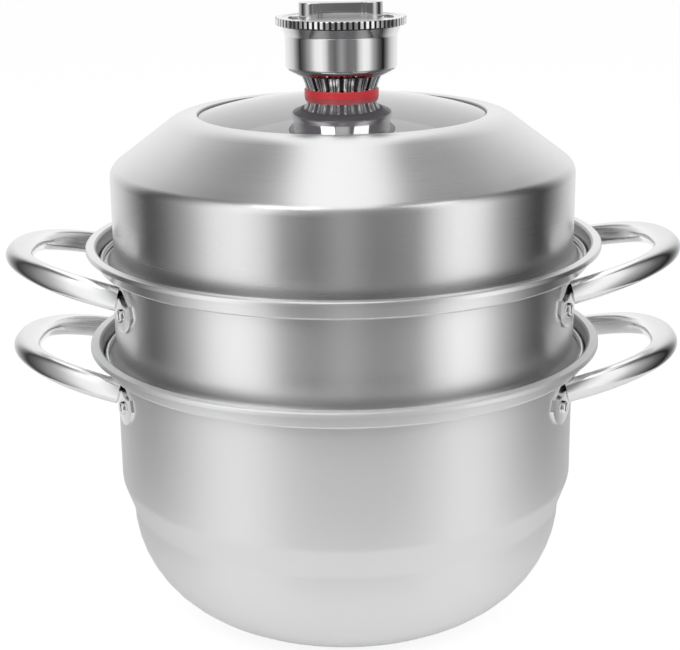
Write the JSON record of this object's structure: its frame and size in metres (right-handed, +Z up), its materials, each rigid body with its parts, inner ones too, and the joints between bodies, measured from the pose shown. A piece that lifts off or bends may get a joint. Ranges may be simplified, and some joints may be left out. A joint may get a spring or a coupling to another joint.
{
  "type": "stacked food steamer",
  "caption": "Round steel steamer: bowl-shaped pot, stacked steaming tier with loop handles, domed lid with glass window and a knob with a turning steam dial.",
  "frame": {"origin": "centre of the pot's flat base, on the axis of every round piece", "axes": "+Z up along the axis; +X towards one pair of loop handles; +Y across them"},
  "size_m": [0.412, 0.314, 0.3789],
  "materials": {
    "pot_steel": "satin",
    "tier_steel": "brushed around the axis",
    "lid_steel": "brushed around the axis",
    "polished_steel": "polished",
    "inner_steel": "matt",
    "glass": "clear, slightly grey",
    "red_silicone": "satin",
    "dark_silicone": "matt"
  },
  "bodies": {
    "pot": {"pot_shell": "pot_steel", "pot_handle_left": "polished_steel", "pot_handle_right": "polished_steel", "pot_handle_plates": "polished_steel", "pot_rivets": "polished_steel"},
    "steam_plate": {"steam_plate": "inner_steel"},
    "tier": {"tier_shell": "tier_steel", "tier_bottom": "inner_steel", "tier_handle_left": "polished_steel", "tier_handle_right": "polished_steel", "tier_handle_plates": "polished_steel", "tier_rivets": "polished_steel"},
    "lid": {"lid_shell": "lid_steel", "lid_window": "glass", "window_seal": "dark_silicone", "window_clamp": "inner_steel", "knob_washer": "red_silicone", "under_washer": "dark_silicone", "vent_stud": "inner_steel", "stud_nut": "inner_steel", "knob_neck": "polished_steel", "knob_cup": "polished_steel", "valve_plate": "inner_steel"},
    "dial": {"steam_dial": "polished_steel", "grip_bar": "polished_steel", "dial_spring": "inner_steel", "dial_screw": "inner_steel"}
  },
  "joints": [
    {"name": "steam_plate_lift", "type": "slide", "parent": "pot", "child": "steam_plate", "axis": [0, 0, 1], "range_m": [0, 0.07]},
    {"name": "tier_lift", "type": "slide", "parent": "pot", "child": "tier", "axis": [0, 0, 1], "range_m": [0, 0.15]},
    {"name": "lid_lift", "type": "slide", "parent": "tier", "child": "lid", "axis": [0, 0, 1], "range_m": [0, 0.15]},
    {"name": "dial_turn", "type": "hinge", "parent": "lid", "child": "dial", "pos_m": [0, 0, 0.36], "axis": [0, 0, 1], "range_deg": [0, 90]}
  ]
}
